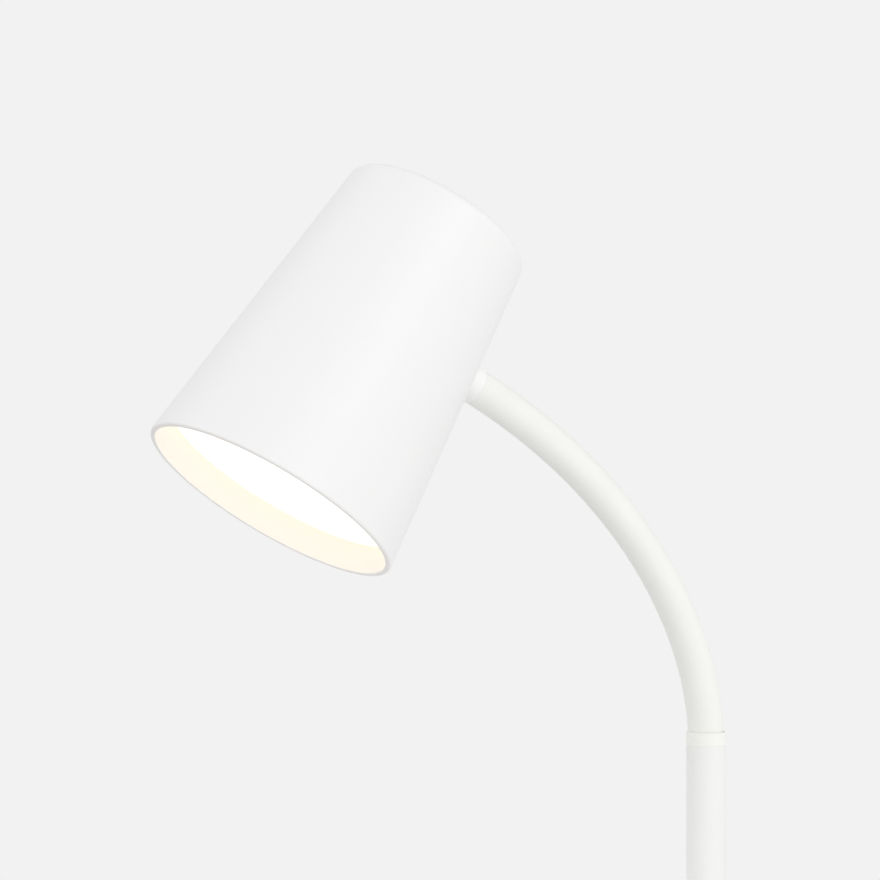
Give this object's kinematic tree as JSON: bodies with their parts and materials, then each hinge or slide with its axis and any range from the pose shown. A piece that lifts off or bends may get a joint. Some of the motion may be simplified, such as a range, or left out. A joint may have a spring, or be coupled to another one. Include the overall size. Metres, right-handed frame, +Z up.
{
  "type": "gooseneck desk lamp",
  "caption": "Desk lamp with a weighted round base, a push switch, a straight post, a bendable gooseneck and a cone shade with an opal diffuser.",
  "frame": {"origin": "centre of the base's underside, on the post's axis", "axes": "+Z up along the post, -X towards the shade, so the neck bends in the XZ plane; +X is the side with the cord outlet"},
  "size_m": [0.2529, 0.14, 0.3965],
  "materials": {
    "white_paint": "satin",
    "white_sleeve": "matte",
    "white_plastic": "satin",
    "steel": "satin",
    "brass": "satin",
    "iron": "matte",
    "foam": "matte",
    "black_plastic": "matte",
    "wire_insulation": "satin",
    "aluminium": "satin",
    "opal": "satin",
    "phosphor": "satin"
  },
  "bodies": {
    "base": {"foot_pad": "foam", "base_plate": "steel", "plate_screws": "steel", "base_weight": "iron", "base_cover": "white_paint", "foot_ring": "white_paint", "post_nipple": "brass", "nipple_washer": "steel", "nipple_nut": "steel", "post_plug": "steel", "post_tube": "white_paint", "post_collar": "white_paint", "neck_anchor": "steel", "anchor_set_screw": "steel", "switch_bezel": "white_plastic", "switch_ring_nut": "steel", "switch_body": "black_plastic", "switch_terminals": "brass", "switch_spring": "steel", "cord_gland": "white_plastic", "gland_nut": "white_plastic", "terminal_block": "white_plastic", "terminal_screws": "steel", "base_wires": "wire_insulation", "post_wires": "wire_insulation"},
    "button": {"switch_button": "white_plastic"},
    "neck_01": {"neck_link_01": "steel"},
    "neck_02": {"neck_link_02": "steel"},
    "neck_03": {"neck_link_03": "steel"},
    "neck_04": {"neck_link_04": "steel"},
    "neck_05": {"neck_link_05": "steel"},
    "neck_06": {"neck_link_06": "steel", "neck_sleeve": "white_sleeve", "neck_wires": "wire_insulation"},
    "neck_07": {"neck_link_07": "steel"},
    "neck_08": {"neck_link_08": "steel"},
    "neck_09": {"neck_link_09": "steel"},
    "neck_10": {"neck_link_10": "steel"},
    "neck_11": {"neck_link_11": "steel"},
    "head": {"neck_tip": "steel", "tip_ferrule": "white_paint", "shade_shell": "white_paint", "shade_bracket": "steel", "tip_washer": "steel", "tip_nut": "steel", "heat_sink": "aluminium", "bracket_screws": "steel", "reflector": "white_plastic", "reflector_screws": "steel", "led_board": "aluminium", "led_chips": "phosphor", "board_screws": "steel", "diffuser": "opal", "wire_grommet": "black_plastic", "head_wires": "wire_insulation"}
  },
  "joints": [
    {"name": "neck_bend_lower", "type": "hinge", "parent": "base", "child": "neck_01", "pos_m": [-0.00045, 0, 0.23298], "axis": [0, -1, 0], "range_deg": [-16, 10], "deforming": ["neck_sleeve", "neck_wires"]},
    {"name": "neck_lean_lower", "type": "hinge", "parent": "neck_01", "child": "neck_02", "pos_m": [-0.00248, 0, 0.24415], "axis": [0.9694, 0, 0.2456], "range_deg": [-12, 12]},
    {"name": "neck_bend_lower_2", "type": "hinge", "parent": "neck_02", "child": "neck_03", "pos_m": [-0.00592, 0, 0.25498], "axis": [0, -1, 0], "range_deg": [-16, 10]},
    {"name": "neck_lean_lower_2", "type": "hinge", "parent": "neck_03", "child": "neck_04", "pos_m": [-0.01054, 0, 0.26536], "axis": [0.8912, 0, 0.4537], "range_deg": [-12, 12]},
    {"name": "neck_bend_lower_3", "type": "hinge", "parent": "neck_04", "child": "neck_05", "pos_m": [-0.01616, 0, 0.27523], "axis": [0, -1, 0], "range_deg": [-16, 10]},
    {"name": "neck_lean_lower_3", "type": "hinge", "parent": "neck_05", "child": "neck_06", "pos_m": [-0.02264, 0, 0.28456], "axis": [0.7962, 0, 0.605], "range_deg": [-12, 12]},
    {"name": "neck_bend_upper", "type": "hinge", "parent": "neck_06", "child": "neck_07", "pos_m": [-0.02986, 0, 0.29333], "axis": [0, -1, 0], "range_deg": [-16, 12]},
    {"name": "neck_lean_upper", "type": "hinge", "parent": "neck_07", "child": "neck_08", "pos_m": [-0.03772, 0, 0.30154], "axis": [0.6973, 0, 0.7168], "range_deg": [-12, 12]},
    {"name": "neck_bend_upper_2", "type": "hinge", "parent": "neck_08", "child": "neck_09", "pos_m": [-0.04612, 0, 0.30918], "axis": [0, -1, 0], "range_deg": [-16, 12]},
    {"name": "neck_lean_upper_2", "type": "hinge", "parent": "neck_09", "child": "neck_10", "pos_m": [-0.05499, 0, 0.31628], "axis": [0.5998, 0, 0.8001], "range_deg": [-12, 12]},
    {"name": "neck_bend_upper_3", "type": "hinge", "parent": "neck_10", "child": "neck_11", "pos_m": [-0.06428, 0, 0.32283], "axis": [0, -1, 0], "range_deg": [-16, 12]},
    {"name": "neck_lean_upper_3", "type": "hinge", "parent": "neck_11", "child": "head", "pos_m": [-0.07392, 0, 0.32884], "axis": [0.5062, 0, 0.8624], "range_deg": [-12, 12]},
    {"name": "button_press", "type": "slide", "parent": "base", "child": "button", "axis": [0, 0, -1], "range_m": [0, 0.0018], "stiffness_N_per_m": 600, "springref_m": -0.002, "deforming": ["switch_spring"]}
  ],
  "couplings": [
    {"joint": "neck_bend_lower_2", "follows": "neck_bend_lower", "ratio": 1},
    {"joint": "neck_lean_lower_2", "follows": "neck_lean_lower", "ratio": 1},
    {"joint": "neck_bend_lower_3", "follows": "neck_bend_lower", "ratio": 1},
    {"joint": "neck_lean_lower_3", "follows": "neck_lean_lower", "ratio": 1},
    {"joint": "neck_bend_upper_2", "follows": "neck_bend_upper", "ratio": 1},
    {"joint": "neck_lean_upper_2", "follows": "neck_lean_upper", "ratio": 1},
    {"joint": "neck_bend_upper_3", "follows": "neck_bend_upper", "ratio": 1},
    {"joint": "neck_lean_upper_3", "follows": "neck_lean_upper", "ratio": 1}
  ]
}
